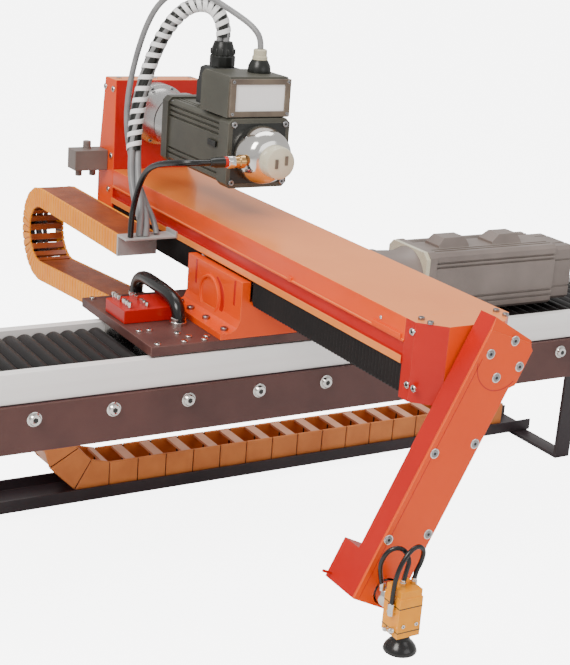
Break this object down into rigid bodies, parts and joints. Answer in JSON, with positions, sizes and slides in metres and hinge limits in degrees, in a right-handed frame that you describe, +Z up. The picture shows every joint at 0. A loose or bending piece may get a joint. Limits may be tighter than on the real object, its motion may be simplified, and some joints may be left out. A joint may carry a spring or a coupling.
{
  "type": "rack and pinion linear unit",
  "caption": "Rack and pinion handling unit: a carriage runs along a beam and drives a reaching arm with a belt-driven swinging lower arm and a vacuum gripper.",
  "frame": {"origin": "underside of the beam, at the middle of its length and depth", "axes": "+X along the beam, +Y away from the gripper along the arm, +Z up"},
  "size_m": [1.2, 1.043, 0.7345],
  "materials": {
    "orange_paint": "gloss",
    "red_paint": "satin",
    "brown_plate": "satin",
    "ground_steel": "ground",
    "dark_steel": "machined",
    "screw_steel": "zinc plated",
    "chrome_cap": "polished",
    "aluminium": "machined",
    "beam_grey": "satin",
    "motor_black": "satin",
    "bellows_black": "matt",
    "chain_orange": "matt",
    "chain_brown": "matt",
    "black_plastic": "matt",
    "grey_plastic": "matt",
    "bronze": "satin",
    "belt_black": "matt",
    "cable_black": "satin",
    "cable_grey": "satin",
    "yellow_paint": "satin",
    "cup_rubber": "matt"
  },
  "bodies": {
    "beam": {"beam_profile": "beam_grey", "guideways": "ground_steel", "front_plate": "brown_plate", "plate_screws": "screw_steel", "x_guide_rails": "dark_steel", "x_rack": "dark_steel", "end_plates": "beam_grey", "chain_tray": "beam_grey", "x_bellows_left": "bellows_black", "x_bellows_right": "bellows_black", "x_chain_lower_run": "chain_brown"},
    "x_chain_loop": {"x_chain_bend": "chain_brown"},
    "carriage": {"x_chain_upper_run": "chain_brown", "x_guide_blocks": "aluminium", "carriage_plate": "red_paint", "chain_tow_bracket": "beam_grey", "saddle": "orange_paint", "pinion_bearings": "dark_steel", "y_guide_blocks": "aluminium", "x_gearmotor": "motor_black", "y_gearbox": "aluminium", "y_motor": "motor_black", "cable_block": "red_paint", "y_chain_lower_run": "chain_orange", "carriage_cable": "cable_black"},
    "x_drive_pinion": {"x_pinion": "dark_steel"},
    "y_drive_pinion": {"y_pinion": "dark_steel"},
    "y_chain_loop": {"y_chain_bend": "chain_orange"},
    "arm": {"y_chain_upper_run": "chain_orange", "arm_housing": "orange_paint", "arm_cover": "orange_paint", "y_rails": "dark_steel", "y_rack": "dark_steel", "front_block": "orange_paint", "shaft_bearings": "bronze", "rear_housing": "orange_paint", "motor_adaptor": "aluminium", "swing_motor": "motor_black", "terminal_box": "motor_black", "motor_connectors": "black_plastic", "encoder_cap": "chrome_cap", "pneumatic_valve": "grey_plastic", "chain_arm_bracket": "aluminium", "y_bellows_front": "bellows_black", "y_bellows_rear": "bellows_black", "drive_belt": "belt_black", "wrapped_cable": "cable_grey", "encoder_cable": "cable_black", "signal_cable": "cable_grey"},
    "motor_shaft": {"motor_pulley": "dark_steel"},
    "lower_arm": {"swing_shaft": "dark_steel", "lower_arm_housing": "orange_paint", "lower_arm_cover": "orange_paint", "cover_screws": "screw_steel", "wrist_belt": "belt_black"},
    "gripper": {"wrist_hub": "aluminium", "gripper_block": "yellow_paint", "suction_cup": "cup_rubber", "gripper_hose_left": "cable_black", "gripper_hose_right": "cable_black"}
  },
  "joints": [
    {"name": "x_slide", "type": "slide", "parent": "beam", "child": "carriage", "axis": [1, 0, 0], "range_m": [-0.25, 0.4], "deforming": ["x_bellows_left", "x_bellows_right", "x_chain_lower_run", "x_chain_upper_run"]},
    {"name": "x_pinion_spin", "type": "hinge", "parent": "carriage", "child": "x_drive_pinion", "pos_m": [0, 0.133, 0.07], "axis": [0, 0, 1], "range_deg": [-770, 480]},
    {"name": "x_chain_roll", "type": "slide", "parent": "beam", "child": "x_chain_loop", "axis": [1, 0, 0], "range_m": [-0.126, 0.201]},
    {"name": "y_slide", "type": "slide", "parent": "carriage", "child": "arm", "axis": [0, 1, 0], "range_m": [-0.22, 0.25], "deforming": ["y_bellows_front", "y_bellows_rear", "y_chain_lower_run", "y_chain_upper_run"]},
    {"name": "y_pinion_spin", "type": "hinge", "parent": "carriage", "child": "y_drive_pinion", "pos_m": [-0.069, 0, 0.1445], "axis": [1, 0, 0], "range_deg": [-580, 510]},
    {"name": "y_chain_roll", "type": "slide", "parent": "carriage", "child": "y_chain_loop", "axis": [0, 1, 0], "range_m": [-0.111, 0.126]},
    {"name": "swing", "type": "hinge", "parent": "arm", "child": "lower_arm", "pos_m": [-0.053, -0.455, 0.207], "axis": [0, 1, 0], "range_deg": [-116, 63]},
    {"name": "motor_pulley_spin", "type": "hinge", "parent": "arm", "child": "motor_shaft", "pos_m": [-0.069, 0.365, 0.3215], "axis": [0, 1, 0], "range_deg": [-176, 96]},
    {"name": "wrist", "type": "hinge", "parent": "lower_arm", "child": "gripper", "pos_m": [-0.17389, -0.48, -0.03442], "axis": [0, 1, 0], "range_deg": [-64, 117]}
  ],
  "couplings": [
    {"joint": "x_pinion_spin", "follows": "x_slide", "rad_per_m": -33.333},
    {"joint": "x_chain_roll", "follows": "x_slide", "ratio": 0.5},
    {"joint": "y_pinion_spin", "follows": "y_slide", "rad_per_m": -40},
    {"joint": "y_chain_roll", "follows": "y_slide", "ratio": 0.5},
    {"joint": "motor_pulley_spin", "follows": "swing", "ratio": 1.5},
    {"joint": "wrist", "follows": "swing", "ratio": -1}
  ]
}
